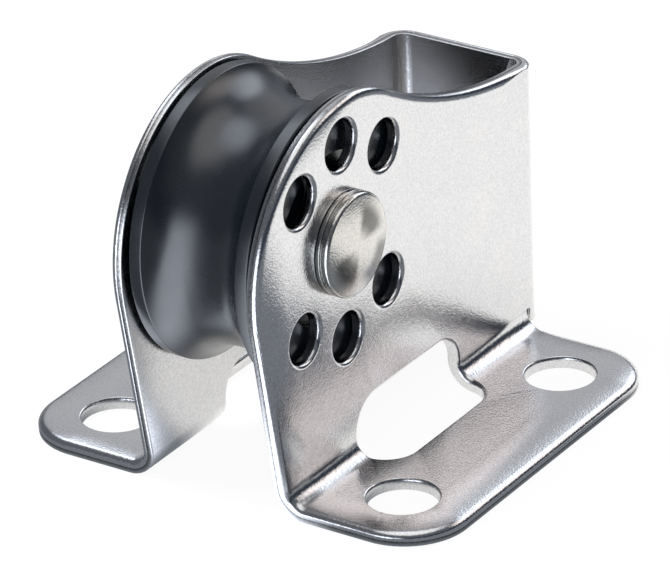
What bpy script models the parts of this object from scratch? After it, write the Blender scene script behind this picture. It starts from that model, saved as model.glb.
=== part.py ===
"""Stand-up block for a small boat: a folded stainless bracket with two feet, a grooved sheave
that runs on two rows of plastic balls, and a rivet through both cheeks as its axle.

Units are metres. X runs along the axle, +Y points to the closed back of the bracket, -Y to its
open front, and +Z up. Z = 0 is the surface that the feet are screwed to.
"""

import math

import bmesh
import bpy
from mathutils import Matrix, Vector

# Sheet metal
PLATE = 0.00095             # thickness of the sheet
CHEEK_GAP = 0.0106          # clear width between the cheeks
FOOT_BEND = 0.0013          # inside radius of the bend between a cheek and its foot
CORNER_BEND = 0.0010        # inside radius of the upright corners at the web
EDGE_ROUND = 0.0003         # rounded rim that blanking leaves on the outer face
BACK_FACE = 0.01865         # the web's outer face, behind the middle of the feet
WEB_TOP = 0.02195
WEB_FOOT = 0.0008           # the web's lower edge stays this far off the mounting surface
RELIEF = 0.0003             # slit between a foot's bend and the upright corner

# Feet
FOOT_REACH = 0.0181         # from the middle plane to a foot's outer edge
FOOT_LENGTH = 0.0324
FOOT_CORNER = 0.0050
SCREW_HOLE = 0.0026         # radius
SCREW_REACH = 0.01245       # from the middle plane to the screw holes
SCREW_SPACING = 0.0215      # between the two holes of a foot

# Cheeks
AXLE_Y = -0.00772
AXLE_Z = 0.01832
CHEEK_COVER = 0.00087       # how far the round front of a cheek reaches past the sheave
LOBE_BACK = 0.00057         # its centre lies this far behind the axle
LOBE_DROP = 0.0009          # and this far below it
RING_EDGE = 0.00142         # sheet left between the topmost hole and the cheek's edge
RING_HOLE = 0.00185         # radius
RING_PLACES = 8             # even places, of which the one ahead and the one behind stay blank
SLOT_LENGTH = 0.0134        # cut-out across the bend
SLOT_TOP = 0.0048           # how far it climbs the cheek
SLOT_REACH = 0.00945        # how far it runs out on the foot
SLOT_CORNER = 0.0024
SLOT_Y = -0.0002

# Axle
AXLE_SHARE = 0.665          # the axle's radius as a share of the bearing's inner race round it
HEAD_COVER = 0.0014         # how far a head and its washer reach out past the axle
HEAD_HEIGHT = 0.0007
HEAD_CROWN = 0.0001         # how far the middle of a head stands proud of its rim
HEAD_EDGE = 0.0004
WASHER_THICKNESS = 0.0003

# Sheave
SHEAVE_RADIUS = 0.0109
SHEAVE_FLOAT = 0.0002       # it runs loose between the cheeks and lies this far off the middle
GROOVE_DEPTH = 0.0018
GROOVE_FLOOR = 0.0028       # width of the floor before the flanks rise
GROOVE_WIDTH = 0.0080       # between the rims
RIM_EDGE = 0.00012
SIDE_RECESS = 0.0002        # the sides are dished so that only the rims can touch a cheek
RIM_HEIGHT = 0.0010

# Bearing
RACE_SHARE = 0.6418         # the balls' outer race as a share of the groove's radius
BALLS_IN_ROW = 14
BALL_SPACE = 0.000136       # between two balls of a row
ROW_OFFSET = 0.0022         # from the middle of the sheave to a row of balls
RACE_DEPTH = 0.00015        # of the tracks in the sheave
RACE_WIDENING = 1.1         # a track's radius across, in ball radii
RETAINER_THICKNESS = 0.0008
RETAINER_COVER = 0.0006     # how far a retainer reaches out past the balls' outer race

# Clearances
SIDE_GAP = 0.0003           # between a rim and a cheek, with the sheave in the middle
SEAT_GAP = 0.00004          # between faces that bear on each other
FIT_GAP = 0.00005           # round the axle, in radius
BALL_GAP = 0.00004          # over and under a ball
LIP_GAP = 0.00045           # between turning lips and the hub
ROW_GAP = 0.00015           # beside a ball

WELD = 0.000002             # points of the sheet that lie this close are one

# Facets
ARC_STEPS = 7               # for a quarter turn of a sheet corner
FOOT_BEND_STEPS = 7
CORNER_BEND_STEPS = 6
LOBE_STEPS = 20
SWEEP_STEPS = 8
RING_HOLE_STEPS = 24
SCREW_HOLE_STEPS = 32
AXLE_STEPS = 48
SHEAVE_STEPS = 72
FLANK_STEPS = 6

# Sizes that follow
CHEEK_INNER = CHEEK_GAP / 2
CHEEK_OUTER = CHEEK_INNER + PLATE
BEND_MIDDLE = FOOT_BEND + PLATE / 2
BEND_ARC = BEND_MIDDLE * math.pi / 2
BEND_X = CHEEK_OUTER + FOOT_BEND
BEND_Z = PLATE + FOOT_BEND
CORNER_MIDDLE = CORNER_BEND + PLATE / 2
CORNER_ARC = CORNER_MIDDLE * math.pi / 2
WEB_FLAT = CHEEK_INNER - CORNER_BEND
CORNER_Y = BACK_FACE - PLATE - CORNER_BEND
FOLD_START = WEB_FLAT + CORNER_ARC
FOOT_BACK = FOOT_LENGTH / 2
LOBE_RADIUS = SHEAVE_RADIUS + CHEEK_COVER
RING_RADIUS = LOBE_RADIUS - LOBE_DROP - RING_EDGE - RING_HOLE
GROOVE_RADIUS = SHEAVE_RADIUS - GROOVE_DEPTH
SHEAVE_HALF = CHEEK_INNER - SIDE_GAP
SIDE_HALF = SHEAVE_HALF - SIDE_RECESS
RACE_RADIUS = GROOVE_RADIUS * RACE_SHARE
BALL_SHARE = math.sin(math.pi / BALLS_IN_ROW)
BALL_CIRCLE = (RACE_RADIUS - BALL_GAP + BALL_SPACE / 2) / (1 + BALL_SHARE)
BALL_RADIUS = BALL_CIRCLE * BALL_SHARE - BALL_SPACE / 2
RACE_CURVE = BALL_RADIUS * RACE_WIDENING
HUB_RADIUS = BALL_CIRCLE - BALL_RADIUS - BALL_GAP
AXLE_RADIUS = HUB_RADIUS * AXLE_SHARE
HEAD_RADIUS = AXLE_RADIUS + HEAD_COVER
RETAINER_X = ROW_OFFSET + BALL_RADIUS + ROW_GAP
RETAINER_RADIUS = RACE_RADIUS + RETAINER_COVER
LIP_RADIUS = HUB_RADIUS + LIP_GAP


def material(name, colour, roughness, metallic):
    """A Principled material in a plain colour."""
    made = bpy.data.materials.new(name)
    made.use_nodes = True
    shader = made.node_tree.nodes["Principled BSDF"]
    shader.inputs["Base Color"].default_value = (*colour, 1.0)
    shader.inputs["Roughness"].default_value = roughness
    shader.inputs["Metallic"].default_value = metallic
    made.diffuse_color = (*colour, 1.0)
    return made


def arc(centre, radius, start, end, steps):
    """Points of an arc, both ends among them; the angles are in radians."""
    angles = [start + (end - start) * k / steps for k in range(steps + 1)]
    return [(centre[0] + radius * math.cos(a), centre[1] + radius * math.sin(a)) for a in angles]


def circle(centre, radius, steps):
    """Points round a hole, clockwise, so that the hole's rim is rounded inwards."""
    return arc(centre, radius, 0.0, -math.tau * (steps - 1) / steps, steps - 1)


def along(y):
    """Distance along the flat strip, from the middle of the web, of a point of a cheek at Y."""
    return FOLD_START + CORNER_Y - y


def down(x):
    """Height in the flat strip, below zero, of a point of a foot at X."""
    return BEND_Z - BEND_ARC - (x - BEND_X)


def half_outline():
    """One half of the flat blank, from the web's lower edge round the foot to the web's top."""
    back, front = along(FOOT_BACK), along(-FOOT_BACK)
    end = down(FOOT_REACH)
    corner = FOOT_CORNER
    points = [(back - RELIEF, WEB_FOOT), (back - RELIEF, BEND_Z), (back, BEND_Z)]
    points += arc((back + corner, end + corner), corner, math.pi, math.pi * 1.5, ARC_STEPS)
    points += arc((front - corner, end + corner), corner, -math.pi / 2, 0.0, ARC_STEPS)
    root = Vector((front, BEND_Z - BEND_ARC / 2))
    points.append(tuple(root))

    # The front edge leans from the foot to the lobe, which it meets as a tangent.
    lobe = Vector((along(AXLE_Y + LOBE_BACK), AXLE_Z - LOBE_DROP))
    sight = lobe - root
    lean = math.atan2(sight.y, sight.x) - math.asin(LOBE_RADIUS / sight.length)
    # The top edge sweeps down from the lobe and runs out level where the web becomes flat.
    run = lobe.x - WEB_FLAT
    rise = lobe.y - WEB_TOP
    sweep = (run ** 2 + rise ** 2 - LOBE_RADIUS ** 2) / (2 * (LOBE_RADIUS + rise))
    hollow = Vector((WEB_FLAT, WEB_TOP + sweep))
    turn = math.atan2(hollow.y - lobe.y, hollow.x - lobe.x)
    points += arc(lobe, LOBE_RADIUS, lean - math.pi / 2, turn, LOBE_STEPS)
    points += arc(hollow, sweep, turn - math.pi, -math.pi / 2, SWEEP_STEPS)[1:]
    return points


def slot_outline():
    """The cut-out across a bend, clockwise: a rectangle with round corners in the flat strip."""
    half = SLOT_LENGTH / 2
    left, right = along(SLOT_Y + half), along(SLOT_Y - half)
    low, high = down(SLOT_REACH), SLOT_TOP
    r = SLOT_CORNER
    quarter = math.pi / 2
    points = arc((left + r, low + r), r, -quarter, -2 * quarter, ARC_STEPS)
    points += arc((left + r, high - r), r, 2 * quarter, quarter, ARC_STEPS)
    points += arc((right - r, high - r), r, quarter, 0.0, ARC_STEPS)
    points += arc((right - r, low + r), r, 0.0, -quarter, ARC_STEPS)
    return points


def blank_holes():
    """The holes of one cheek and its foot, as loops in the flat strip."""
    axle = (along(AXLE_Y), AXLE_Z)
    holes = [circle(axle, AXLE_RADIUS + FIT_GAP, AXLE_STEPS), slot_outline()]
    for place in range(RING_PLACES):
        if place * 2 % RING_PLACES == 0:
            continue
        angle = math.tau * place / RING_PLACES
        centre = (axle[0] + RING_RADIUS * math.cos(angle), axle[1] + RING_RADIUS * math.sin(angle))
        holes.append(circle(centre, RING_HOLE, RING_HOLE_STEPS))
    for side in (-1, 1):
        centre = (along(side * SCREW_SPACING / 2), down(SCREW_REACH))
        holes.append(circle(centre, SCREW_HOLE, SCREW_HOLE_STEPS))
    return holes


def mirrored(points):
    """The same loop on the other cheek, running the same way round."""
    return [(-u, v) for u, v in reversed(points)]


def blank_curve():
    """The flat blank as a filled curve, thicker than the sheet on its inner side."""
    half = half_outline()
    loops = [half + mirrored(half)]
    for hole in blank_holes():
        loops += [hole, mirrored(hole)]
    curve = bpy.data.curves.new("blank", "CURVE")
    curve.dimensions = "2D"
    curve.fill_mode = "BOTH"
    curve.extrude = PLATE
    curve.bevel_depth = EDGE_ROUND
    curve.bevel_resolution = 1
    curve.offset = -EDGE_ROUND
    for loop in loops:
        spline = curve.splines.new("POLY")
        spline.points.add(len(loop) - 1)
        for point, (u, v) in zip(spline.points, loop):
            point.co = (u, v, 0.0, 1.0)
        spline.use_cyclic_u = True
    return curve


def folded(point):
    """Where a point of the flat strip lies once the feet and then the web are bent."""
    u, v, n = point
    side = math.copysign(1.0, u)
    distance = abs(u)
    # Bend at the foot: out and down, round an axis along Y.
    out, height = n, v
    if v < BEND_Z and distance > along(FOOT_BACK) - RELIEF / 2:
        turn = min((BEND_Z - v) / BEND_MIDDLE, math.pi / 2)
        radius = BEND_MIDDLE - n
        straight = max(BEND_Z - BEND_ARC - v, 0.0)
        out = BEND_MIDDLE - radius * math.cos(turn) + straight
        height = BEND_Z - radius * math.sin(turn)
    # Bend at the web: round an upright axis.
    if distance <= WEB_FLAT:
        return Vector((u, BACK_FACE - PLATE / 2 + out, height))
    turn = min((distance - WEB_FLAT) / CORNER_MIDDLE, math.pi / 2)
    radius = CORNER_MIDDLE + out
    straight = max(distance - FOLD_START, 0.0)
    x = WEB_FLAT + radius * math.sin(turn)
    y = CORNER_Y + radius * math.cos(turn) - straight
    return Vector((side * x, y, height))


def cut_along(bm, where, normal):
    """Adds an edge loop where a plane crosses the mesh."""
    everything = bm.verts[:] + bm.edges[:] + bm.faces[:]
    bmesh.ops.bisect_plane(bm, geom=everything, dist=1e-7, plane_co=where, plane_no=normal)


def make_bracket(steel):
    """Blanks the sheet, trims it to thickness, and folds it."""
    curve = bpy.data.objects.new("blank", blank_curve())
    PARTS.objects.link(curve)
    bpy.context.view_layer.update()
    seen = curve.evaluated_get(bpy.context.evaluated_depsgraph_get())
    mesh = bpy.data.meshes.new_from_object(seen)
    mesh.name = "bracket"
    bpy.data.objects.remove(curve)

    bm = bmesh.new()
    bm.from_mesh(mesh)
    bmesh.ops.remove_doubles(bm, verts=bm.verts, dist=WELD)
    everything = bm.verts[:] + bm.edges[:] + bm.faces[:]
    trimmed = bmesh.ops.bisect_plane(bm, geom=everything, dist=1e-7, plane_co=(0, 0, EDGE_ROUND),
                                     plane_no=(0, 0, 1), clear_inner=True)
    rim = [item for item in trimmed["geom_cut"] if isinstance(item, bmesh.types.BMEdge)]
    bmesh.ops.triangle_fill(bm, edges=rim, use_beauty=True)
    bmesh.ops.translate(bm, verts=bm.verts, vec=(0, 0, -EDGE_ROUND - PLATE / 2))
    for k in range(FOOT_BEND_STEPS + 1):
        cut_along(bm, (0, BEND_Z - BEND_ARC * k / FOOT_BEND_STEPS, 0), (0, 1, 0))
    for k in range(CORNER_BEND_STEPS + 1):
        for side in (-1, 1):
            place = side * (WEB_FLAT + CORNER_ARC * k / CORNER_BEND_STEPS)
            cut_along(bm, (place, 0, 0), (1, 0, 0))
    bmesh.ops.remove_doubles(bm, verts=bm.verts, dist=WELD)
    for vertex in bm.verts:
        vertex.co = folded(vertex.co)
    bmesh.ops.recalc_face_normals(bm, faces=bm.faces)
    if bm.calc_volume(signed=True) < 0:
        bmesh.ops.reverse_faces(bm, faces=bm.faces)
    bm.to_mesh(mesh)
    bm.free()
    return add_object("bracket", mesh, steel)


def add_object(name, mesh, look, parent=None):
    """Links a mesh as an object of the block, with its material."""
    made = bpy.data.objects.new(name, mesh)
    PARTS.objects.link(made)
    if not mesh.materials:
        mesh.materials.append(look)
    if mesh.polygons:
        mesh.shade_smooth()
        mesh.set_sharp_from_angle(angle=math.radians(35))
    made.parent = parent
    return made


def turned(name, profile, look, parent, steps, closed):
    """Turns a profile of (radius, along the axle) points, from +X to -X on its outer side."""
    mesh = bpy.data.meshes.new(name)
    count = len(profile)
    edges = [(k, k + 1) for k in range(count - 1)]
    if closed:
        edges.append((count - 1, 0))
    mesh.from_pydata([(radius, 0.0, height) for radius, height in profile], edges, [])
    made = add_object(name, mesh, look, parent)
    made.rotation_euler = (0.0, math.pi / 2, 0.0)
    screw = made.modifiers.new("turn", "SCREW")
    screw.steps = steps
    screw.render_steps = steps
    screw.use_merge_vertices = True
    screw.merge_threshold = 1e-7
    screw.use_smooth_shade = True
    return made


def race(steps=FLANK_STEPS):
    """A row's track in the sheave's profile, on the +X side, from its outer lip inwards."""
    half = math.sqrt(RACE_CURVE ** 2 - (RACE_CURVE - RACE_DEPTH) ** 2)
    points = []
    for k in range(steps + 1):
        across = half * (1 - 2 * k / steps)
        depth = RACE_CURVE - math.sqrt(RACE_CURVE ** 2 - across ** 2)
        points.append((RACE_RADIUS - depth, ROW_OFFSET + across))
    return points


def both_halves(upper):
    """A profile's upper half and its mirror image below the middle plane."""
    return upper + [(radius, -height) for radius, height in reversed(upper)]


def make_rivet(steel, axis):
    """The axle: a shank between two flat-topped heads, closed over the washers."""
    base = CHEEK_OUTER + WASHER_THICKNESS + 2 * SEAT_GAP
    shoulder = base + HEAD_HEIGHT - HEAD_EDGE
    upper = [(0.0, base + HEAD_HEIGHT + HEAD_CROWN)]
    upper.append((HEAD_RADIUS - 1.5 * HEAD_EDGE, base + HEAD_HEIGHT + HEAD_CROWN / 2))
    centre = (HEAD_RADIUS - HEAD_EDGE, shoulder)
    upper += arc(centre, HEAD_EDGE, math.pi / 2, 0.0, 3)
    upper += [(HEAD_RADIUS, base), (AXLE_RADIUS, base)]
    turned("rivet", both_halves(upper), steel, axis, AXLE_STEPS, closed=False)


def make_washer(name, side, steel, axis):
    """A thin washer between a cheek and a rivet head."""
    inner = AXLE_RADIUS + FIT_GAP
    low, high = sorted(side * (CHEEK_OUTER + SEAT_GAP + depth) for depth in (0.0, WASHER_THICKNESS))
    profile = [(HEAD_RADIUS, high), (HEAD_RADIUS, low), (inner, low), (inner, high)]
    turned(name, profile, steel, axis, AXLE_STEPS, closed=True)


def make_hub(plastic, axis):
    """The fixed inner race, clamped between the cheeks: a plain tube that the balls run along."""
    profile = both_halves([(AXLE_RADIUS + FIT_GAP, CHEEK_INNER - SEAT_GAP),
                           (HUB_RADIUS, CHEEK_INNER - SEAT_GAP)])
    turned("bearing_hub", profile, plastic, axis, AXLE_STEPS, closed=True)


def make_sheave(plastic, axis):
    """The sheave: a wide groove outside, two tracks and the seats of the retainers inside."""
    reach = (GROOVE_WIDTH - GROOVE_FLOOR) / 2
    curve = (reach ** 2 + GROOVE_DEPTH ** 2) / (2 * GROOVE_DEPTH)
    steepness = math.asin(min(reach / curve, 1.0))
    flank = arc((GROOVE_RADIUS + curve, GROOVE_FLOOR / 2), curve, math.pi, math.pi - steepness,
                FLANK_STEPS)
    rim = [(SHEAVE_RADIUS - RIM_EDGE, GROOVE_WIDTH / 2), (SHEAVE_RADIUS, GROOVE_WIDTH / 2 + RIM_EDGE)]
    outer = [(SHEAVE_RADIUS, SHEAVE_HALF - RIM_EDGE), (SHEAVE_RADIUS - RIM_EDGE, SHEAVE_HALF)]
    step = SHEAVE_RADIUS - RIM_HEIGHT
    side = [(step, SHEAVE_HALF), (step - SIDE_RECESS, SIDE_HALF)]
    seat_floor = RETAINER_X - SEAT_GAP
    seat = [(RETAINER_RADIUS + SEAT_GAP, SIDE_HALF), (RETAINER_RADIUS + SEAT_GAP, seat_floor)]
    seat.append((RACE_RADIUS - RACE_DEPTH, seat_floor))
    rib = ROW_OFFSET - BALL_RADIUS - ROW_GAP
    core = [(RACE_RADIUS - RACE_DEPTH, rib), (LIP_RADIUS, rib)]
    # From the groove's floor out over the rim and in to the rib, on the +X side.
    upper = flank[:-1] + rim + outer + side + seat + race() + core
    lower = [(radius, -height) for radius, height in upper]
    profile = upper[::-1] + lower
    turned("sheave", profile, plastic, axis, SHEAVE_STEPS, closed=True)


def make_retainer(name, side, plastic, axis):
    """A ring pressed into the sheave's side, which keeps its row of balls in."""
    low, high = sorted(side * (RETAINER_X + depth) for depth in (0.0, RETAINER_THICKNESS))
    profile = [(RETAINER_RADIUS, high), (RETAINER_RADIUS, low), (LIP_RADIUS, low), (LIP_RADIUS, high)]
    turned(name, profile, plastic, axis, AXLE_STEPS, closed=True)


def make_balls(plastic, carrier):
    """Two rows of balls round the hub, which share one mesh."""
    mesh = bpy.data.meshes.new("ball")
    bm = bmesh.new()
    bmesh.ops.create_icosphere(bm, subdivisions=2, radius=BALL_RADIUS)
    bm.to_mesh(mesh)
    bm.free()
    for row, side in (("near", 1), ("far", -1)):
        for k in range(BALLS_IN_ROW):
            angle = math.tau * k / BALLS_IN_ROW
            ball = add_object(f"ball_{row}_{k + 1:02d}", mesh, plastic, carrier)
            ball.location = (side * ROW_OFFSET, BALL_CIRCLE * math.cos(angle),
                             BALL_CIRCLE * math.sin(angle))


def make_empty(name, across=0.0):
    """An empty on the axle's line, which carries what turns or sits there."""
    made = bpy.data.objects.new(name, None)
    PARTS.objects.link(made)
    made.matrix_world = Matrix.Translation((across, AXLE_Y, AXLE_Z))
    return made


for old in list(bpy.data.objects):
    bpy.data.objects.remove(old)

PARTS = bpy.data.collections.new("stand_up_block")
bpy.context.scene.collection.children.link(PARTS)

polished = material("polished_stainless", (0.78, 0.78, 0.79), 0.12, 1.0)
rivet_steel = material("rivet_stainless", (0.74, 0.74, 0.74), 0.16, 1.0)
black = material("black_acetal", (0.018, 0.020, 0.022), 0.32, 0.0)
white = material("white_acetal", (0.82, 0.81, 0.77), 0.35, 0.0)

axle_line = make_empty("axle_line")
sheave_axis = make_empty("sheave_axis", SHEAVE_FLOAT)
ball_axis = make_empty("ball_axis", SHEAVE_FLOAT)

make_bracket(polished)
make_rivet(rivet_steel, axle_line)
make_washer("rivet_washer_near", 1, rivet_steel, axle_line)
make_washer("rivet_washer_far", -1, rivet_steel, axle_line)
make_hub(black, axle_line)
make_sheave(black, sheave_axis)
make_retainer("bearing_retainer_near", 1, black, sheave_axis)
make_retainer("bearing_retainer_far", -1, black, sheave_axis)
make_balls(white, ball_axis)
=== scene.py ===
import math

import bmesh
import bpy
from mathutils import Matrix, Vector


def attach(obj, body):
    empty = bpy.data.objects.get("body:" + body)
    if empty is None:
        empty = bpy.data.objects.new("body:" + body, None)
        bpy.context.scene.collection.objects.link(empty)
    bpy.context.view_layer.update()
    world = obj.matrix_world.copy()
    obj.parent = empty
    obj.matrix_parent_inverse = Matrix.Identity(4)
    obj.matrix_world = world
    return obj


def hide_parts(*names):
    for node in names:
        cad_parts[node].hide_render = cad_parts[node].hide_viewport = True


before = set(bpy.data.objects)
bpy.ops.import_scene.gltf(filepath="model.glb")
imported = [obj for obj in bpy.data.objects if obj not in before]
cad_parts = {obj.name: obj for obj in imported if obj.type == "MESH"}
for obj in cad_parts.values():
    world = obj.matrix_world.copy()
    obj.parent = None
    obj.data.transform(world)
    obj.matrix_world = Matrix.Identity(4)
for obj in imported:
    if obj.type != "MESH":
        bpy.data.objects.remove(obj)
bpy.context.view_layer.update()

# Looks of the stand-up block: the folded bracket with rounded blanked edges, the turned parts
# with fine edges, and materials with grain and smudges, with painted dark reflection on the
# rivet's faces. Units are metres, in the CAD's frame.

# Camera of the photograph
AZIMUTH = 34.3137           # degrees
ELEVATION = 26.9109
ROLL = math.radians(-2.2429)
LENS = 322.57               # millimetres
SENSOR = 36.0               # its width, in millimetres
DISTANCE = 0.44187
AIM_RIGHT = -0.000364       # where the camera aims, across the view from the frame's origin
AIM_UP = 0.008704

# Sheet metal, as in the CAD
PLATE = 0.00095
CHEEK_GAP = 0.0106
FOOT_BEND = 0.0013
CORNER_BEND = 0.0010
BACK_FACE = 0.01865
WEB_TOP = 0.02195
WEB_FOOT = 0.0008
RELIEF = 0.0003
FOOT_REACH = 0.0181
FOOT_LENGTH = 0.0324
FOOT_CORNER = 0.0050
SCREW_HOLE = 0.0026
SCREW_REACH = 0.01245
SCREW_SPACING = 0.0215
AXLE_Y = -0.00772
AXLE_Z = 0.01832
LOBE_RADIUS = 0.01177
LOBE_BACK = 0.00057
LOBE_DROP = 0.0009
ROOT_EASE = 0.004           # rounding where a cheek's front edge rises from its foot
RING_RADIUS = 0.0076
RING_HOLE = 0.00185
RING_PLACES = 8
SLOT_LENGTH = 0.0134
SLOT_TOP = 0.0048
SLOT_REACH = 0.00945
SLOT_CORNER = 0.0024
SLOT_Y = -0.0002
AXLE_HOLE = 0.00255

# Details of the blanked edge
OUTLINE_ROLL = 0.00060      # the outline's edge rolls over this far into the face
RING_ROLL = 0.00038         # the same round the holes of the ring and the cut-outs
SCREW_ROLL = 0.00018        # and round the screw holes and the axle's
SLIT_ROLL = 0.15            # share of the roll that is left beside the slits
SLIT_FADE = 0.0030          # the roll comes back over this distance from a slit
ROLL_DEPTH = 0.00040
BURR_ROUND = 0.00008        # rounding on the inner face
SHEAR_BAND = 0.00014        # smooth sheared band below the rolled edge
BREAK_STEP = 0.00002        # the broken part of the edge lies this far back
WEB_CORNER = 0.00070        # rounding of the web's lower corners
SLIT_ROUND = 0.00013        # rounding at the end of a slit

# Turned parts
SHEAVE_RADIUS = 0.0109
SHEAVE_FLOAT = 0.0002       # the sheave lies this far off the middle
SHEAVE_HALF = 0.0050
GROOVE_DEPTH = 0.0018
GROOVE_FLOOR = 0.0028
GROOVE_WIDTH = 0.0080
FLOOR_CURVE = 0.0080        # radius of the groove's floor, which is a little hollow
RIM_HEIGHT = 0.0010
SIDE_RECESS = 0.0002
RACE_RADIUS = 0.0058404
RACE_DEPTH = 0.00015
RACE_CURVE = 0.0011
ROW_OFFSET = 0.0022
RIB_FACE = 0.00105          # the rib between the rows, from the sheave's middle
RETAINER_X = 0.00335        # a retainer's inner face, from the sheave's middle
RETAINER_THICKNESS = 0.0008
RETAINER_RADIUS = 0.00644
LIP_RADIUS = 0.00421
HUB_RADIUS = 0.00376
AXLE_RADIUS = 0.0025
HEAD_RADIUS = 0.0039
HEAD_HEIGHT = 0.0007
WASHER_THICKNESS = 0.0003
SEAT_GAP = 0.00004
FIT_GAP = 0.00005
RIM_EDGE = 0.00012          # rounding of the sheave's edges
FINE_EDGE = 0.00005         # rounding of small turned edges
HEAD_ROLL = 0.00028         # rounding between a head's side and its face
HEAD_UNDERCUT = 0.00014     # the neck under a head is this much slimmer
HEAD_CROWN = 0.00016

# Steps of round stretches
BEND_STEPS = 18
CORNER_STEPS = 16
EASED_STEPS = 5
WEB_CORNER_STEPS = 10
SLIT_STEPS = 4
FOOT_CORNER_STEPS = 20
LOBE_STEPS = 72
HOLLOW_STEPS = 40
SLOT_CORNER_STEPS = 16
RING_HOLE_STEPS = 64
SCREW_HOLE_STEPS = 80
BURR_STEPS = 3
ROLL_STEPS = 10
TURN_STEPS = 192
FINE_STEPS = 6
FLOOR_STEPS = 8
FLANK_STEPS = 24
TRACK_STEPS = 12
CROWN_STEPS = 8
WELD = 1e-7                 # a cut leaves alone the points that lie this close to it
SHARP = math.radians(40)    # turned edges steeper than this stay sharp in the shading

# Noise textures: times per metre, detail and roughness
GRAIN = (6500.0, 2.0, 0.7)
PEEL = (2600.0, 2.0, 0.5)
CLOUD = (240.0, 4.0, 0.6)
CRUMB = (5200.0, 4.0, 0.75)
MOULD = (12500.0, 3.0, 0.5)
PATCHES = (400.0, 4.0, 0.5)

# Their relief: strength and depth
GRAIN_BUMP = (0.8, 0.000020)
PEEL_BUMP = (0.6, 0.000009)
CLOUD_BUMP = (0.5, 0.000012)
CRUMB_BUMP = (0.8, 0.000040)
MOULD_BUMP = (0.3, 0.000005)

# Stainless: its tint, and its roughness where it is bright and where it is dark
METAL = {"Metallic": 1.0}
BRACKET_STEEL = ((0.70, 0.69, 0.685), 0.05, 0.11)
RIVET_STEEL = ((0.66, 0.635, 0.59), 0.10, 0.16)
SMUDGE = (0.86, 0.88, 0.91)     # tint of a smudge, as shares of the steel's
SPECKS = (0.34, 0.66)       # the part of the grain's noise that shows as specks
SPECK_SHADE = (0.86, 1.05)
CLOUD_ROUGH = 0.04          # roughness that the clouds add
INNER_ROUGH = 0.13          # roughness that the inner faces of the sheet add

# The broken part of a blanked edge
PITS = (0.42, 0.58)
BREAK_DARK = (0.03, 0.03, 0.03)
BREAK_LIGHT = (0.22, 0.21, 0.20)
BREAK_ROUGH = 0.34

# Acetal: tint, roughness and specular level
BLACK_ACETAL = ((0.006, 0.009, 0.013), 0.27, 1.0)
WHITE_ACETAL = ((0.80, 0.79, 0.75), 0.35, 0.5)
ACETAL_IOR = 1.48
PATCH_SHADE = 0.2           # its patches are this much darker and lighter
PATCH_PART = (0.3, 0.7)     # the part of the patches' noise that changes the roughness
PATCH_ROUGH = 0.15          # by this share

# The sheet metal falls off towards the edges of the feet and of the cheeks' round fronts
FALL_WIDTH = 0.0036
FALL_DEPTH = 0.00040
FRONT_RUN = (-0.0026, 0.0140)   # the run of a cheek's front edge, in Y and Z
LOBE_ABOVE = (0.011, 0.015)     # heights over which a lobe's fall comes in
LOBE_AHEAD = (-0.003, -0.009)   # places along Y over which it comes in

# The turned faces of the rivet: a dome, fine turning rings, and painted dark reflection in two
# smears and a bow near the rim, where turned metal would show dark sectors
DOME = 24.0                 # its drop over the square of the distance from the axle
RING_PITCH = 0.00022
RING_DEPTH = 0.0000005
PAINTED_REFLECTION_SHADE = 0.25
PAINTED_REFLECTION_UNEVEN = 0.9
PAINTED_REFLECTION_BLADES = (-0.05, 0.40)
PAINTED_REFLECTION_INNER = (0.0002, 0.0018)
PAINTED_REFLECTION_OUTER = (0.0036, 0.0024)
PAINTED_BOW_FACING = (0.0, -0.50)
PAINTED_BOW_RING = (0.0020, 0.0030)

# The floor as the camera sees it
WHITE = (1.0, 1.0, 1.0)
FLOOR_HALF = 4.0
FLOOR_DROP = 0.00003            # it lies this far below the feet
FLOOR_PAINT = (0.8, 0.8, 0.8)
PAPER = (0.10, 0.10, 0.10)      # the part of its white that takes the object's shadow
GLOW = 0.93                     # and the part that doesn't

# The floor as metal shows it: shaded in front of the block, white behind it and between its
# feet, and shaded again far away. Ranges are places along Y.
WHITE_BEHIND = (0.0090, 0.0150)
WHITE_AHEAD = (-0.012, -0.007)
WHITE_FADE = (0.060, 0.085)
MIRRORED_SHADE = (0.24, 0.26, 0.29)
MIRRORED_WHITE = (1.0, 0.99, 0.97)
MIRRORED_PAPER = (0.4, 0.4, 0.4)

# The bright sheet in front of the block, which widens away from it and runs up the studio's wall
SHEET_START = 0.0170
SHEET_HALF = 0.0045
SHEET_MIDDLE = 0.0020
SHEET_SPREAD = 0.36
SHEET_SOFT = 0.0045
SHEET_COLOUR = (3.0, 3.2, 3.6)
SHEET_SIDE = (-0.18, 0.18)      # how far past its sides it fades, along a unit sight line
SHEET_TOP = (0.40, 0.05)        # heights over which it fades, on a unit sight line

# The studio that metal shows. A range is of the height or the X of a unit sight line. A card or
# soft box has an azimuth, an elevation, an inner and an outer radius, in degrees, and a colour.
WALLS = (0.15, 0.16, 0.18)
CEILING = (1.3, 1.3, 1.3)
CEILING_RISE = (0.80, 0.94)
STRIP = (0.05, 0.06, 0.08)
STRIP_TOP = (0.440, 0.400)
STRIP_SIDE = (0.0, 0.25)
CARDS = [(-146.0, 27.0, 7.0, 32.0, (0.60, 0.61, 0.64)), (146.0, 30.0, 10.0, 24.0, (1.72, 1.60, 1.56))]
SOFT_BOXES = [(178.0, 29.0, 10.0, 21.0, (2.3, 2.45, 2.7)), (-115.0, 59.0, 6.0, 20.0, (2.2, 2.35, 2.6))]
ROOM_LIGHT = (0.45, 0.46, 0.48)

# Lamps: azimuth, elevation, distance, size and watts
LAMPS = {"key": (-70.0, 58.0, 0.9, 0.4, 4.0), "fill": (30.0, 40.0, 0.9, 0.5, 2.0)}

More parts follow.
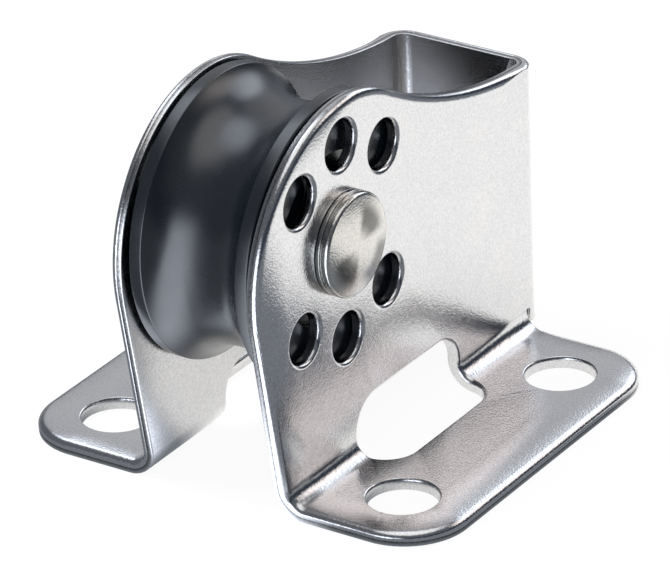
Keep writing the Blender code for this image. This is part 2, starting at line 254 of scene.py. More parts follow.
# Sizes that follow
CHEEK_INNER = CHEEK_GAP / 2
CHEEK_OUTER = CHEEK_INNER + PLATE
BEND_MIDDLE = FOOT_BEND + PLATE / 2
BEND_ARC = BEND_MIDDLE * math.pi / 2
BEND_X = CHEEK_OUTER + FOOT_BEND
BEND_Z = PLATE + FOOT_BEND
CORNER_MIDDLE = CORNER_BEND + PLATE / 2
CORNER_ARC = CORNER_MIDDLE * math.pi / 2
WEB_FLAT = CHEEK_INNER - CORNER_BEND
CORNER_Y = BACK_FACE - PLATE - CORNER_BEND
FOLD_START = WEB_FLAT + CORNER_ARC
FOOT_BACK = FOOT_LENGTH / 2


def arc(centre, radius, start, end, steps):
    """Points of an arc, both ends among them; the angles are in radians."""
    angles = [start + (end - start) * k / steps for k in range(steps + 1)]
    return [(centre[0] + radius * math.cos(a), centre[1] + radius * math.sin(a)) for a in angles]


def circle(centre, radius, steps):
    """Points round a hole, clockwise."""
    return arc(centre, radius, 0.0, -math.tau * (steps - 1) / steps, steps - 1)


def along(y):
    """Distance along the flat strip, from the middle of the web, of a point of a cheek at Y."""
    return FOLD_START + CORNER_Y - y


def down(x):
    """Height in the flat strip, below zero, of a point of a foot at X."""
    return BEND_Z - BEND_ARC - (x - BEND_X)


def eased(before, corner, after, radius, steps=EASED_STEPS):
    """A corner of an outline, rounded with an arc."""
    corner = Vector(corner)
    one = (Vector(before) - corner).normalized()
    two = (Vector(after) - corner).normalized()
    half = one.angle(two) / 2
    run = radius / math.tan(half)
    centre = corner + (one + two).normalized() * (radius / math.sin(half))
    first = corner + one * run - centre
    last = corner + two * run - centre
    turn = math.atan2(first.x * last.y - first.y * last.x, first.dot(last))
    start = math.atan2(first.y, first.x)
    return arc(centre, radius, start, start + turn, steps)


def half_outline():
    """One half of the flat blank, from the web's lower edge round the foot to the web's top."""
    back, front = along(FOOT_BACK), along(-FOOT_BACK)
    end = down(FOOT_REACH)
    corner = FOOT_CORNER
    slit = [(0.0, WEB_FOOT), (back - RELIEF, WEB_FOOT), (back - RELIEF, BEND_Z), (back, BEND_Z),
            (back, end)]
    points = [(back - RELIEF - SLIT_FADE, WEB_FOOT)]
    points += eased(slit[0], slit[1], slit[2], WEB_CORNER, WEB_CORNER_STEPS)
    for k in (2, 3):
        points += eased(slit[k - 1], slit[k], slit[k + 1], SLIT_ROUND)
    points += [(back, WEB_FOOT - SLIT_FADE * k / SLIT_STEPS) for k in range(SLIT_STEPS + 1)]
    points += arc((back + corner, end + corner), corner, math.pi, math.pi * 1.5, FOOT_CORNER_STEPS)
    points += arc((front - corner, end + corner), corner, -math.pi / 2, 0.0, FOOT_CORNER_STEPS)
    # The front edge rises straight from the foot's bend until it touches the lobe.
    root = Vector((front, BEND_Z - BEND_ARC / 2))
    lobe = Vector((along(AXLE_Y + LOBE_BACK), AXLE_Z - LOBE_DROP))
    sight = lobe - root
    lean = math.atan2(sight.y, sight.x) - math.asin(LOBE_RADIUS / sight.length)
    # The hollow behind the lobe touches it and runs level into the web's top.
    run = lobe.x - WEB_FLAT
    rise = lobe.y - WEB_TOP
    sweep = (run ** 2 + rise ** 2 - LOBE_RADIUS ** 2) / (2 * (LOBE_RADIUS + rise))
    hollow = Vector((WEB_FLAT, WEB_TOP + sweep))
    turn = math.atan2(hollow.y - lobe.y, hollow.x - lobe.x)
    round_front = arc(lobe, LOBE_RADIUS, lean - math.pi / 2, turn, LOBE_STEPS)
    points += eased((front, 0.0), root, round_front[0], ROOT_EASE)
    points += round_front
    points += arc(hollow, sweep, turn - math.pi, -math.pi / 2, HOLLOW_STEPS)[1:]
    return points


def slot_outline():
    """The cut-out across a bend, clockwise: a rectangle with round corners in the flat strip."""
    half = SLOT_LENGTH / 2
    left, right = along(SLOT_Y + half), along(SLOT_Y - half)
    low, high = down(SLOT_REACH), SLOT_TOP
    r = SLOT_CORNER
    quarter = math.pi / 2
    points = arc((left + r, low + r), r, -quarter, -2 * quarter, SLOT_CORNER_STEPS)
    points += arc((left + r, high - r), r, 2 * quarter, quarter, SLOT_CORNER_STEPS)
    points += arc((right - r, high - r), r, quarter, 0.0, SLOT_CORNER_STEPS)
    points += arc((right - r, low + r), r, 0.0, -quarter, SLOT_CORNER_STEPS)
    return points


def blank_holes():
    """The holes of one cheek and its foot: loops in the flat strip, and how wide their edge rolls."""
    axle = (along(AXLE_Y), AXLE_Z)
    holes = [(circle(axle, AXLE_HOLE, RING_HOLE_STEPS), SCREW_ROLL), (slot_outline(), RING_ROLL)]
    for place in range(RING_PLACES):
        if place * 2 % RING_PLACES == 0:
            continue
        angle = math.tau * place / RING_PLACES
        centre = (axle[0] + RING_RADIUS * math.cos(angle), axle[1] + RING_RADIUS * math.sin(angle))
        holes.append((circle(centre, RING_HOLE, RING_HOLE_STEPS), RING_ROLL))
    for side in (-1, 1):
        centre = (along(side * SCREW_SPACING / 2), down(SCREW_REACH))
        holes.append((circle(centre, SCREW_HOLE, SCREW_HOLE_STEPS), SCREW_ROLL))
    return holes


def mirrored(points):
    """The same loop on the other cheek, running the same way round."""
    return [(-u, v) for u, v in reversed(points)]


def roll_share(point):
    """How much of the rolled edge there is at a point of the strip: little beside the slits."""
    reach = Vector((abs(point.x) - along(FOOT_BACK) + RELIEF / 2, max(WEB_FOOT - point.y, 0.0)))
    return min(SLIT_ROLL + reach.length / SLIT_FADE, 1.0)


def inset(loop, distance):
    """The loop moved into the metal, which lies on the left of its course."""
    moved = []
    for k, here in enumerate(loop):
        here = Vector(here)
        come = (here - Vector(loop[k - 1])).normalized()
        go = (Vector(loop[(k + 1) % len(loop)]) - here).normalized()
        left = Vector((-come.y - go.y, come.x + go.x))
        moved.append(here + left * (distance * roll_share(here) / (1 + come.dot(go))))
    return moved


def edge_profile(width):
    """The blanked edge from the inner face to the outer one: (into the metal, through the sheet)."""
    low, high = -PLATE / 2, PLATE / 2
    burr = (BURR_ROUND + BREAK_STEP, low + BURR_ROUND)
    points = arc(burr, BURR_ROUND, -math.pi / 2, -math.pi, BURR_STEPS)
    shear = high - ROLL_DEPTH - SHEAR_BAND
    points += [(BREAK_STEP, shear - BREAK_STEP), (0.0, shear + BREAK_STEP)]
    points += [(width * (1 + x), high + ROLL_DEPTH * (y - 1))
               for x, y in arc((0, 0), 1.0, math.pi, math.pi / 2, ROLL_STEPS)]
    return points


def fold(u, v, n):
    """Where a point of the flat strip lies once bent, and the directions of u, v and n there."""
    side = math.copysign(1.0, u)
    distance = abs(u)
    out, height = n, v
    bend = 0.0
    if v < BEND_Z and distance > along(FOOT_BACK) - RELIEF / 2:
        bend = min((BEND_Z - v) / BEND_MIDDLE, math.pi / 2)
        radius = BEND_MIDDLE - n
        straight = max(BEND_Z - BEND_ARC - v, 0.0)
        out = BEND_MIDDLE - radius * math.cos(bend) + straight
        height = BEND_Z - radius * math.sin(bend)
    turn = min(max((distance - WEB_FLAT) / CORNER_MIDDLE, 0.0), math.pi / 2)
    radius = CORNER_MIDDLE + out
    straight = max(distance - FOLD_START, 0.0)
    x = min(distance, WEB_FLAT) + radius * math.sin(turn)
    y = CORNER_Y + radius * math.cos(turn) - straight
    outward = Vector((side * math.sin(turn), math.cos(turn), 0.0))
    up = Vector((0.0, 0.0, 1.0))
    axis_u = Vector((math.cos(turn), -side * math.sin(turn), 0.0))
    axis_v = up * math.cos(bend) - outward * math.sin(bend)
    axis_n = outward * math.cos(bend) + up * math.sin(bend)
    return Vector((side * x, y, height)), (axis_u, axis_v, axis_n)


def make_bracket(look):
    """The folded sheet, with every edge rounded as blanking and tumbling leave it."""
    half = half_outline()
    loops = [(half + mirrored(half), edge_profile(OUTLINE_ROLL))]
    for hole, width in blank_holes():
        loops += [(hole, edge_profile(width)), (mirrored(hole), edge_profile(width))]
    bm = bmesh.new()
    broken = bm.verts.layers.float.new("broken")
    caps = {0: [], 1: []}
    for loop, profile in loops:
        rings = []
        for depth, height in profile:
            ring = [bm.verts.new((p.x, p.y, height)) for p in inset(loop, depth)]
            for vertex in ring:
                vertex[broken] = 1.0 if depth == BREAK_STEP and loop is loops[0][0] else 0.0
            rings.append(ring)
        count = len(loop)
        for low, high in zip(rings, rings[1:]):
            for k in range(count):
                m = (k + 1) % count
                bm.faces.new((low[k], low[m], high[m], high[k]))
        for which, ring in ((0, rings[0]), (1, rings[-1])):
            caps[which] += [bm.edges.get((ring[k], ring[(k + 1) % count])) for k in range(count)]
    for which in (0, 1):
        bmesh.ops.triangle_fill(bm, edges=caps[which], use_beauty=True)
    for k in range(BEND_STEPS + 1):
        cut(bm, (0, BEND_Z - BEND_ARC * k / BEND_STEPS, 0), (0, 1, 0))
    for k in range(CORNER_STEPS + 1):
        for side in (-1, 1):
            cut(bm, (side * (WEB_FLAT + CORNER_ARC * k / CORNER_STEPS), 0, 0), (1, 0, 0))
    bmesh.ops.recalc_face_normals(bm, faces=bm.faces)
    normals = []
    for vertex in bm.verts:
        total = Vector((0, 0, 0))
        for face in vertex.link_faces:
            total += face.normal * face.calc_area()
        place, axes = fold(*vertex.co)
        normals.append(sum((axis * part for axis, part in zip(axes, total)), Vector()).normalized())
        vertex.co = place
    # The fold swaps the strip's left and right, so the faces are turned over once more.
    bmesh.ops.reverse_faces(bm, faces=bm.faces)
    mesh = bpy.data.meshes.new("bracket_dressed")
    bm.to_mesh(mesh)
    bm.free()
    mesh.shade_smooth()
    mesh.normals_split_custom_set_from_vertices(normals)
    finished(mesh, look, "bracket", "bracket")


def cut(bm, where, normal):
    """Adds an edge loop where a plane crosses the mesh."""
    everything = bm.verts[:] + bm.edges[:] + bm.faces[:]
    bmesh.ops.bisect_plane(bm, geom=everything, dist=WELD, plane_co=where, plane_no=normal)


def finished(mesh, look, body, node):
    """Links a piece, gives it its material and puts it in place of its CAD node."""
    piece = bpy.data.objects.new(mesh.name, mesh)
    bpy.context.scene.collection.objects.link(piece)
    mesh.materials.append(look)
    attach(piece, body)
    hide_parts(node)
    return piece


def lathe(name, profile, look, body, node, across=0.0):
    """Turns a closed profile of (radius, along the axle) points about the axle."""
    bm = bmesh.new()
    rings = []
    for radius, x in profile:
        if radius == 0.0:
            rings.append([bm.verts.new((x + across, AXLE_Y, AXLE_Z))] * TURN_STEPS)
            continue
        ring = []
        for k in range(TURN_STEPS):
            angle = math.tau * k / TURN_STEPS
            y = AXLE_Y + radius * math.cos(angle)
            z = AXLE_Z + radius * math.sin(angle)
            ring.append(bm.verts.new((x + across, y, z)))
        rings.append(ring)
    for one, two in zip(rings, rings[1:] + rings[:1]):
        for k in range(TURN_STEPS):
            m = (k + 1) % TURN_STEPS
            corners = list(dict.fromkeys((one[k], one[m], two[m], two[k])))
            if len(corners) > 2:
                bm.faces.new(corners)
    bmesh.ops.recalc_face_normals(bm, faces=bm.faces)
    mesh = bpy.data.meshes.new(name)
    bm.to_mesh(mesh)
    bm.free()
    mesh.shade_smooth()
    mesh.set_sharp_from_angle(angle=SHARP)
    piece = finished(mesh, look, body, node)
    weighted = piece.modifiers.new("weighted", "WEIGHTED_NORMAL")
    weighted.keep_sharp = True


def both(upper):
    """A profile's +X half and its mirror image."""
    return upper + [(radius, -x) for radius, x in reversed(upper)]


def rounded(points, radii):
    """A profile with its corners eased; a radius of 0 leaves the corner as it is."""
    made = []
    count = len(points)
    for k, (point, radius) in enumerate(zip(points, radii)):
        if radius == 0.0:
            made.append(point)
        else:
            made += eased(points[k - 1], point, points[(k + 1) % count], radius, FINE_STEPS)
    return made


def make_sheave(look):
    """The sheave with its wide hollow groove, fine rims and dished sides."""
    groove = SHEAVE_RADIUS - GROOVE_DEPTH
    reach = (GROOVE_WIDTH - GROOVE_FLOOR) / 2
    # Each flank is an arc that goes on from the floor's arc up to the groove's edge.
    lean = math.asin(GROOVE_FLOOR / 2 / FLOOR_CURVE)
    rise = FLOOR_CURVE * (1 - math.cos(lean))
    chord = Vector((reach, GROOVE_DEPTH - rise))
    climb = math.atan2(chord.y, chord.x) - lean
    curve = chord.length / (2 * math.sin(climb))
    centre = (groove + rise + curve * math.cos(lean), GROOVE_FLOOR / 2 - curve * math.sin(lean))
    turn = math.pi - lean
    flank = arc((groove + FLOOR_CURVE, 0.0), FLOOR_CURVE, math.pi, turn, FLOOR_STEPS)[:-1]
    flank += arc(centre, curve, turn, turn - 2 * climb, FLANK_STEPS)
    seat = RETAINER_RADIUS + SEAT_GAP
    seat_floor = RETAINER_X - SEAT_GAP
    shoulder = RACE_RADIUS - RACE_DEPTH
    step = SHEAVE_RADIUS - RIM_HEIGHT
    side = SHEAVE_HALF - SIDE_RECESS
    points = [flank[-1], (SHEAVE_RADIUS, SHEAVE_HALF), (step, SHEAVE_HALF), (step - SIDE_RECESS, side),
              (seat, side), (seat, seat_floor), (shoulder, seat_floor)]
    radii = [RIM_EDGE, RIM_EDGE, RIM_EDGE, RIM_EDGE, FINE_EDGE, 0.0, 0.0]
    outside = rounded([flank[-2]] + points, [0.0] + radii)[1:]
    across = math.sqrt(RACE_CURVE ** 2 - (RACE_CURVE - RACE_DEPTH) ** 2)
    track = []
    for k in range(TRACK_STEPS + 1):
        x = across * (1 - 2 * k / TRACK_STEPS)
        track.append((RACE_RADIUS - RACE_CURVE + math.sqrt(RACE_CURVE ** 2 - x ** 2), ROW_OFFSET + x))
    core = [(shoulder, RIB_FACE), (LIP_RADIUS, RIB_FACE)]
    upper = flank[:-1] + outside + track + core
    profile = upper[::-1] + [(radius, -x) for radius, x in upper[1:]]
    lathe("sheave_dressed", profile, look, "sheave", "sheave", SHEAVE_FLOAT)


def make_rivet(look):
    """The axle with its formed heads: an undercut neck, a rolled rim and a crowned face."""
    base = CHEEK_OUTER + WASHER_THICKNESS + 2 * SEAT_GAP
    rim = base + HEAD_HEIGHT - HEAD_ROLL
    face = HEAD_RADIUS - HEAD_ROLL
    neck = HEAD_RADIUS - HEAD_UNDERCUT
    head = []
    for k in range(CROWN_STEPS):
        crown = HEAD_CROWN * (1 - (k / CROWN_STEPS) ** 2)
        head.append((face * k / CROWN_STEPS, base + HEAD_HEIGHT + crown))
    head += arc((face, rim), HEAD_ROLL, math.pi / 2, 0.0, ROLL_STEPS)
    head += [(HEAD_RADIUS, rim - FINE_EDGE), (neck, rim - HEAD_UNDERCUT)]
    head += [(neck, base), (AXLE_RADIUS, base)]
    lathe("rivet_dressed", both(head), look, "bracket", "rivet")


def make_ring(name, inner, outer, low, high, look, body, node, across=0.0):
    """A plain turned ring with fine edges, between two places along the axle."""
    corners = [(inner, low), (outer, low), (outer, high), (inner, high)]
    lathe(name, rounded(corners, [FINE_EDGE] * 4), look, body, node, across)


class Nodes:
    """Makes the shader nodes of one material or world; most calls return the output socket."""

    def __init__(self, owner):
        self.tree = owner.node_tree

    def put(self, value, socket):
        """Links another node's output to an input, or sets the input's number, vector or colour."""
        if isinstance(value, bpy.types.NodeSocket):
            self.tree.links.new(value, socket)
        elif socket.type == "RGBA":
            socket.default_value = (*value, 1.0)
        else:
            socket.default_value = value

    def make(self, kind, inputs=None, **settings):
        """A new node, with its inputs by name or number, and its settings."""
        made = self.tree.nodes.new(kind)
        for key, value in settings.items():
            setattr(made, key, value)
        for key, value in (inputs or {}).items():
            self.put(value, made.inputs[key])
        return made

    def number(self, operation, *values):
        """What a Math node makes of numbers."""
        return self.make("ShaderNodeMath", dict(enumerate(values)), operation=operation).outputs["Value"]

    def vector(self, operation, *values):
        """What a Vector Math node makes of vectors: a vector, a length or a product."""
        made = self.make("ShaderNodeVectorMath", dict(enumerate(values)), operation=operation)
        return made.outputs["Value" if operation in ("LENGTH", "DOT_PRODUCT") else "Vector"]

    def parts(self, vector):
        """The X, Y and Z of a vector."""
        return self.make("ShaderNodeSeparateXYZ", {0: vector}).outputs[:]

    def ramp(self, value, start, end, low=0.0, high=1.0, soft=True):
        """Goes from low to high as the value goes from start to end, and no further."""
        inputs = {"Value": value, "From Min": start, "From Max": end, "To Min": low, "To Max": high}
        course = "SMOOTHSTEP" if soft else "LINEAR"
        return self.make("ShaderNodeMapRange", inputs, interpolation_type=course).outputs["Result"]

    def share(self, value, low, high):
        """Goes straight from low to high as the value goes from 0 to 1."""
        return self.ramp(value, 0.0, 1.0, low, high, soft=False)

    def noise(self, place, scale, detail, roughness):
        """A noise texture's level."""
        inputs = {"Vector": place, "Scale": scale, "Detail": detail, "Roughness": roughness}
        return self.make("ShaderNodeTexNoise", inputs).outputs["Fac"]

    def bump(self, height, strength, depth, below=None):
        """A relief, over the one below it."""
        inputs = {"Height": height, "Strength": strength, "Distance": depth}
        if below:
            inputs["Normal"] = below
        return self.make("ShaderNodeBump", inputs).outputs["Normal"]

    def blend(self, share, one, two):
        """A colour between two."""
        return self.make("ShaderNodeMixRGB", {"Fac": share, "Color1": one, "Color2": two}).outputs["Color"]

    def shader(self, kind, inputs):
        """A surface shader, or what joins two of them."""
        return self.make(kind, inputs).outputs[0]

    def mirrored_ray(self, path):
        """1 for a ray that shows something in metal or through glass."""
        return self.number("MAXIMUM", path.outputs["Is Glossy Ray"], path.outputs["Is Transmission Ray"])


def new_look(name):
    """A material, its nodes, and the place on the piece that its textures start from."""
    made = bpy.data.materials.new(name)
    made.use_nodes = True
    nodes = Nodes(made)
    return made, nodes, nodes.make("ShaderNodeTexCoord").outputs["Object"]


def coat(nodes, paint, roughness, relief, levels):
    """Puts colour, roughness and relief on a material's shader, and levels that are plain numbers."""
    shader = nodes.tree.nodes["Principled BSDF"]
    for name, value in {"Base Color": paint, "Roughness": roughness, "Normal": relief, **levels}.items():
        nodes.put(value, shader.inputs[name])


def fall(nodes, place):
    """How far the faces have fallen off towards the edges: 0 where they are flat, -1 at an edge.

    The feet fall off all round, and the cheeks along their front edges and round their lobes.
    """
    x, y, z = nodes.parts(place)
    squares = []
    for value, inner in ((x, FOOT_REACH - FOOT_CORNER), (y, FOOT_BACK - FOOT_CORNER)):
        past = nodes.number("MAXIMUM", nodes.number("SUBTRACT", nodes.number("ABSOLUTE", value), inner), 0.0)
        squares.append(nodes.number("MULTIPLY", past, past))
    reach = nodes.number("POWER", nodes.number("ADD", *squares), 0.5)
    foot = nodes.ramp(reach, FOOT_CORNER - FALL_WIDTH, FOOT_CORNER, soft=False)
    in_foot = nodes.number("LESS_THAN", z, BEND_Z)
    from_lobe = nodes.vector("SUBTRACT", place, (0.0, AXLE_Y + LOBE_BACK, AXLE_Z - LOBE_DROP))
    spoke = nodes.vector("LENGTH", nodes.vector("MULTIPLY", from_lobe, (0.0, 1.0, 1.0)))
    lobe = nodes.ramp(spoke, LOBE_RADIUS - FALL_WIDTH, LOBE_RADIUS, soft=False)
    window = nodes.number("MULTIPLY", nodes.ramp(z, *LOBE_ABOVE), nodes.ramp(y, *LOBE_AHEAD))
    lobe = nodes.number("MULTIPLY", lobe, window)
    run = Vector(FRONT_RUN).normalized()
    inwards = Vector((0.0, run.y, -run.x))
    edge = inwards.dot(Vector((0.0, -FOOT_BACK, BEND_Z)))
    front = nodes.ramp(nodes.vector("DOT_PRODUCT", place, inwards), edge + FALL_WIDTH, edge, soft=False)
    cheek = nodes.number("MAXIMUM", lobe, front)
    near = nodes.make("ShaderNodeMix", {"Factor": in_foot, 2: cheek, 3: foot}, data_type="FLOAT").outputs[0]
    return nodes.number("MULTIPLY", nodes.number("MULTIPLY", near, near), -1.0)


def painted_dark_reflections(nodes, centred, radius, cloud):
    """Painted dark reflection on a rivet's face: two smears across it and a bow near its rim; 0 elsewhere."""
    y, z = nodes.parts(centred)[1:]
    square = nodes.number("MULTIPLY", radius, radius)
    around = nodes.number("DIVIDE", nodes.number("MULTIPLY", y, z), square)
    uneven = nodes.number("MULTIPLY_ADD", cloud, PAINTED_REFLECTION_UNEVEN, -PAINTED_REFLECTION_UNEVEN / 2)
    torn = nodes.number("ADD", around, uneven)
    window = nodes.number("MULTIPLY", nodes.ramp(radius, *PAINTED_REFLECTION_INNER), nodes.ramp(radius, *PAINTED_REFLECTION_OUTER))
    painted_blades = nodes.number("MULTIPLY", nodes.ramp(torn, *PAINTED_REFLECTION_BLADES), window)
    painted_bow = nodes.number("MULTIPLY", nodes.ramp(torn, *PAINTED_BOW_FACING), nodes.ramp(radius, *PAINTED_BOW_RING))
    painted_bow = nodes.number("MULTIPLY", painted_bow, nodes.number("GREATER_THAN", y, 0.0))
    return nodes.number("MAXIMUM", painted_blades, painted_bow)


def steel(nodes, place, cloud, tint, shiny, dull):
    """Colour, roughness and relief of tumble-polished stainless.

    It has a fine speckled grain, faint waves and cloudy smudges.
    """
    grain = nodes.noise(place, *GRAIN)
    smudge = tuple(part * share for part, share in zip(tint, SMUDGE))
    speck = nodes.ramp(grain, *SPECKS, soft=False)
    paint = nodes.vector("MULTIPLY", nodes.blend(cloud, smudge, tint), nodes.share(speck, *SPECK_SHADE))
    rough = nodes.number("ADD", nodes.share(speck, dull, shiny), nodes.number("MULTIPLY", cloud, CLOUD_ROUGH))
    relief = nodes.bump(grain, *GRAIN_BUMP)
    relief = nodes.bump(nodes.noise(place, *PEEL), *PEEL_BUMP, relief)
    return paint, rough, nodes.bump(cloud, *CLOUD_BUMP, relief)


def bracket_look():
    """Stainless sheet: inner faces are rougher, and faces fall off towards the edges.

    Where the mesh says that the edge is broken, the metal is coarse and dull.
    """
    look, nodes, place = new_look("polished_stainless_look")
    paint, rough, relief = steel(nodes, place, nodes.noise(place, *CLOUD), *BRACKET_STEEL)
    x, y = nodes.parts(place)[:2]
    between = nodes.number("LESS_THAN", nodes.number("ABSOLUTE", x), CHEEK_INNER + BURR_ROUND)
    before = nodes.number("LESS_THAN", y, BACK_FACE - PLATE + BURR_ROUND)
    inner = nodes.number("MULTIPLY", between, before)
    rough = nodes.number("MULTIPLY_ADD", inner, INNER_ROUGH, rough)
    relief = nodes.bump(fall(nodes, place), 1.0, FALL_DEPTH, relief)
    edge = nodes.make("ShaderNodeAttribute", attribute_name="broken").outputs["Fac"]
    crumb = nodes.noise(place, *CRUMB)
    pitted = nodes.blend(nodes.ramp(crumb, *PITS, soft=False), BREAK_DARK, BREAK_LIGHT)
    torn = nodes.bump(crumb, *CRUMB_BUMP)
    relief = nodes.make("ShaderNodeMix", {"Factor": edge, 4: relief, 5: torn}, data_type="VECTOR").outputs[1]
    coat(nodes, nodes.blend(edge, paint, pitted), nodes.share(edge, rough, BREAK_ROUGH), relief, METAL)
    return look


def rivet_look():
    """Stainless with turned faces: a slight dome, fine rings, and dark smears of painted reflection."""
    look, nodes, place = new_look("rivet_stainless_look")
    cloud = nodes.noise(place, *CLOUD)
    paint, rough, relief = steel(nodes, place, cloud, *RIVET_STEEL)
    centred = nodes.vector("SUBTRACT", place, (0.0, AXLE_Y, AXLE_Z))
    radius = nodes.vector("LENGTH", nodes.vector("MULTIPLY", centred, (0.0, 1.0, 1.0)))
    dome = nodes.number("MULTIPLY", nodes.number("MULTIPLY", radius, radius), -DOME)
    ripple = nodes.number("SINE", nodes.number("MULTIPLY", radius, math.tau / RING_PITCH))
    relief = nodes.bump(nodes.number("MULTIPLY_ADD", ripple, RING_DEPTH, dome), 1.0, 1.0, relief)
    # Painted dark reflection: the smears and the bow darken the face's colour
    shade = nodes.share(painted_dark_reflections(nodes, centred, radius, cloud), 1.0, PAINTED_REFLECTION_SHADE)
    coat(nodes, nodes.vector("MULTIPLY", paint, shade), rough, relief, METAL)
    return look


def acetal_look(name, tint, rough, sheen):
    """Moulded acetal: a soft sheen over a fine moulding texture, in slightly uneven shades."""
    look, nodes, place = new_look(name)
    patches = nodes.noise(place, *PATCHES)
    darker = tuple(part * (1 - PATCH_SHADE) for part in tint)
    lighter = tuple(part * (1 + PATCH_SHADE) for part in tint)
    uneven = nodes.ramp(patches, *PATCH_PART, rough * (1 - PATCH_ROUGH), rough * (1 + PATCH_ROUGH),
                        soft=False)
    relief = nodes.bump(nodes.noise(place, *MOULD), *MOULD_BUMP)
    levels = {"IOR": ACETAL_IOR, "Specular IOR Level": sheen}
    coat(nodes, nodes.blend(patches, darker, lighter), uneven, relief, levels)
    return look


def floor_in_metal(nodes):
    """The floor as metal shows it, with the bright sheet in front of the block."""
    x, y = nodes.parts(nodes.make("ShaderNodeTexCoord").outputs["Object"])[:2]
    behind = nodes.number("MULTIPLY", nodes.ramp(y, *WHITE_BEHIND), nodes.ramp(y, *WHITE_FADE, 1.0, 0.0))
    beside = nodes.ramp(nodes.number("ABSOLUTE", x), FOOT_REACH, FOOT_REACH - FALL_WIDTH / 2)
    between = nodes.number("MULTIPLY", beside, nodes.ramp(y, *WHITE_AHEAD))
    level = nodes.number("MAXIMUM", behind, between)
    paper = nodes.shader("ShaderNodeBsdfDiffuse", {"Color": MIRRORED_PAPER})
    glow = nodes.shader("ShaderNodeEmission", {"Color": MIRRORED_WHITE, "Strength": GLOW})
    white = nodes.shader("ShaderNodeAddShader", {0: paper, 1: glow})
    shade = nodes.shader("ShaderNodeEmission", {"Color": MIRRORED_SHADE, "Strength": 1.0})
    plain = nodes.shader("ShaderNodeMixShader", {0: level, 1: shade, 2: white})
    ahead = nodes.number("MULTIPLY_ADD", y, -1.0, -SHEET_START)
    half = nodes.number("MULTIPLY_ADD", ahead, SHEET_SPREAD, SHEET_HALF)
    aside = nodes.number("ABSOLUTE", nodes.number("SUBTRACT", x, SHEET_MIDDLE))
    inside = nodes.ramp(nodes.number("SUBTRACT", half, aside), -SHEET_SOFT, SHEET_SOFT)
    covered = nodes.number("MULTIPLY", inside, nodes.ramp(ahead, -2 * SHEET_SOFT, 0.0))
    sheet = nodes.shader("ShaderNodeEmission", {"Color": SHEET_COLOUR, "Strength": 1.0})
    return nodes.shader("ShaderNodeMixShader", {0: covered, 1: plain, 2: sheet})


def make_floor():
    """A plain floor: white for the camera, with the object's shadow, and plain for the light."""
    mesh = bpy.data.meshes.new("floor")
    corners = [(-1, -1), (1, -1), (1, 1), (-1, 1)]
    mesh.from_pydata([(x * FLOOR_HALF, y * FLOOR_HALF, -FLOOR_DROP) for x, y in corners], [], [(0, 1, 2, 3)])
    floor = bpy.data.objects.new("floor", mesh)
    bpy.context.scene.collection.objects.link(floor)
    look = bpy.data.materials.new("floor_white")
    look.use_nodes = True
    nodes = Nodes(look)
    nodes.tree.nodes.clear()
    path = nodes.make("ShaderNodeLightPath")
    painted = nodes.shader("ShaderNodeBsdfDiffuse", {"Color": FLOOR_PAINT})
    paper = nodes.shader("ShaderNodeBsdfDiffuse", {"Color": PAPER})
    glow = nodes.shader("ShaderNodeEmission", {"Color": WHITE, "Strength": GLOW})
    shown = nodes.shader("ShaderNodeAddShader", {0: paper, 1: glow})
    direct = nodes.shader("ShaderNodeMixShader", {0: path.outputs["Is Camera Ray"], 1: painted, 2: shown})
    mixed = nodes.shader("ShaderNodeMixShader", {0: nodes.mirrored_ray(path), 1: direct,
                                                 2: floor_in_metal(nodes)})
    nodes.make("ShaderNodeOutputMaterial", {"Surface": mixed})
    mesh.materials.append(look)


def towards(azimuth, elevation):
    """The direction of a place round the object; azimuth 0 is in front of it, 90 on its right."""
    a, e = math.radians(azimuth), math.radians(elevation)
    return Vector((math.sin(a) * math.cos(e), -math.cos(a) * math.cos(e), math.sin(e)))


def soft_disc(nodes, sight, below, azimuth, elevation, inner, outer, colour):
    """A round card or soft box in the studio, over the colours that are there."""
    nearness = nodes.vector("DOT_PRODUCT", sight, towards(azimuth, elevation))
    share = nodes.ramp(nearness, math.cos(math.radians(outer)), math.cos(math.radians(inner)))
    return nodes.blend(share, below, colour)


def make_world():
    """White where the camera sees it, a plain level of light, and a studio that metal shows.

    The studio has dim walls below a white ceiling, a grey card behind on the left and a warm one
    behind on the right, a dark strip low on the right, a soft box behind and one on the left, and
    the upper end of the bright sheet in front.
    """
    world = bpy.data.worlds.new("studio")
    world.use_nodes = True
    world.cycles.sampling_method = "NONE"
    bpy.context.scene.world = world
    nodes = Nodes(world)
    sight = nodes.make("ShaderNodeTexCoord").outputs["Generated"]
    x, y, z = nodes.parts(sight)
    studio = nodes.blend(nodes.ramp(z, *CEILING_RISE), WALLS, CEILING)
    for card in CARDS:
        studio = soft_disc(nodes, sight, studio, *card)
    strip = nodes.number("MULTIPLY", nodes.ramp(z, *STRIP_TOP), nodes.ramp(x, *STRIP_SIDE))
    studio = nodes.blend(strip, studio, STRIP)
    for box in SOFT_BOXES:
        studio = soft_disc(nodes, sight, studio, *box)
    half = nodes.number("MULTIPLY", y, -SHEET_SPREAD)
    inside = nodes.ramp(nodes.number("SUBTRACT", half, nodes.number("ABSOLUTE", x)), *SHEET_SIDE)
    covered = nodes.number("MULTIPLY", inside, nodes.ramp(z, *SHEET_TOP))
    studio = nodes.blend(covered, studio, SHEET_COLOUR)
    path = nodes.make("ShaderNodeLightPath")
    plain = nodes.blend(path.outputs["Is Camera Ray"], ROOM_LIGHT, WHITE)
    background = nodes.tree.nodes["Background"]
    nodes.put(nodes.blend(nodes.mirrored_ray(path), plain, studio), background.inputs["Color"])
    background.inputs["Strength"].default_value = 1.0


def make_lamp(name, azimuth, elevation, distance, size, power):
    """A square soft lamp that points at the object and stays out of its reflections."""
    data = bpy.data.lights.new(name, "AREA")
    data.size = size
    data.energy = power
    made = bpy.data.objects.new(name, data)
    back = towards(azimuth, elevation)
    made.location = back * distance
    made.rotation_mode = "QUATERNION"
    made.rotation_quaternion = back.to_track_quat("Z", "Y")
    made.visible_camera = False
    made.visible_glossy = False
    bpy.context.scene.collection.objects.link(made)


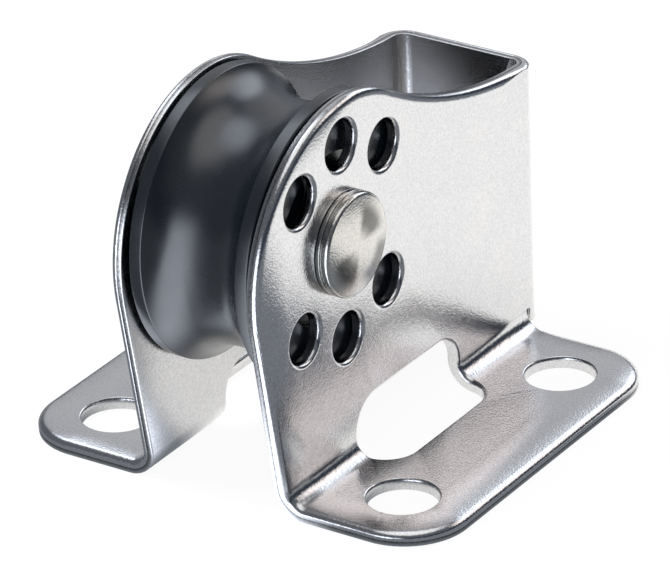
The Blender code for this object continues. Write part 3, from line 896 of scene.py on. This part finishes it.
def make_camera():
    """The photograph's camera."""
    data = bpy.data.cameras.new("camera")
    data.lens = LENS
    data.sensor_width = SENSOR
    data.clip_start = 0.01
    data.clip_end = 20.0
    back = towards(AZIMUTH, ELEVATION)
    level = towards(AZIMUTH + 90.0, 0.0)
    raised = back.cross(level)
    right = level * math.cos(ROLL) + raised * math.sin(ROLL)
    up = raised * math.cos(ROLL) - level * math.sin(ROLL)
    place = right * AIM_RIGHT + up * AIM_UP + back * DISTANCE
    camera = bpy.data.objects.new("camera", data)
    turned = Matrix((right, up, back)).transposed().to_4x4()
    camera.matrix_world = Matrix.Translation(place) @ turned
    bpy.context.scene.collection.objects.link(camera)
    bpy.context.scene.camera = camera


make_camera()
make_floor()
make_world()
for name, values in LAMPS.items():
    make_lamp(name, *values)

polished = bracket_look()
rivet_steel = rivet_look()
black = acetal_look("black_acetal_look", *BLACK_ACETAL)
white = acetal_look("white_acetal_look", *WHITE_ACETAL)

make_bracket(polished)
make_sheave(black)
make_rivet(rivet_steel)
make_ring("bearing_hub_dressed", AXLE_RADIUS + FIT_GAP, HUB_RADIUS, -CHEEK_INNER + SEAT_GAP,
          CHEEK_INNER - SEAT_GAP, black, "bracket", "bearing_hub")
for which, side in (("near", 1), ("far", -1)):
    low, high = sorted(side * (CHEEK_OUTER + SEAT_GAP + depth) for depth in (0.0, WASHER_THICKNESS))
    make_ring(f"rivet_washer_{which}_dressed", AXLE_RADIUS + FIT_GAP, HEAD_RADIUS, low, high,
              rivet_steel, "bracket", f"rivet_washer_{which}")
    low, high = sorted(side * (RETAINER_X + depth) for depth in (0.0, RETAINER_THICKNESS))
    make_ring(f"bearing_retainer_{which}_dressed", LIP_RADIUS, RETAINER_RADIUS, low, high,
              black, "sheave", f"bearing_retainer_{which}", SHEAVE_FLOAT)

# The balls keep their CAD meshes.
for name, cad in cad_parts.items():
    if name.startswith("ball_"):
        for carried in cad.material_slots:
            carried.material = white

bpy.context.scene.view_settings.view_transform = "Standard"
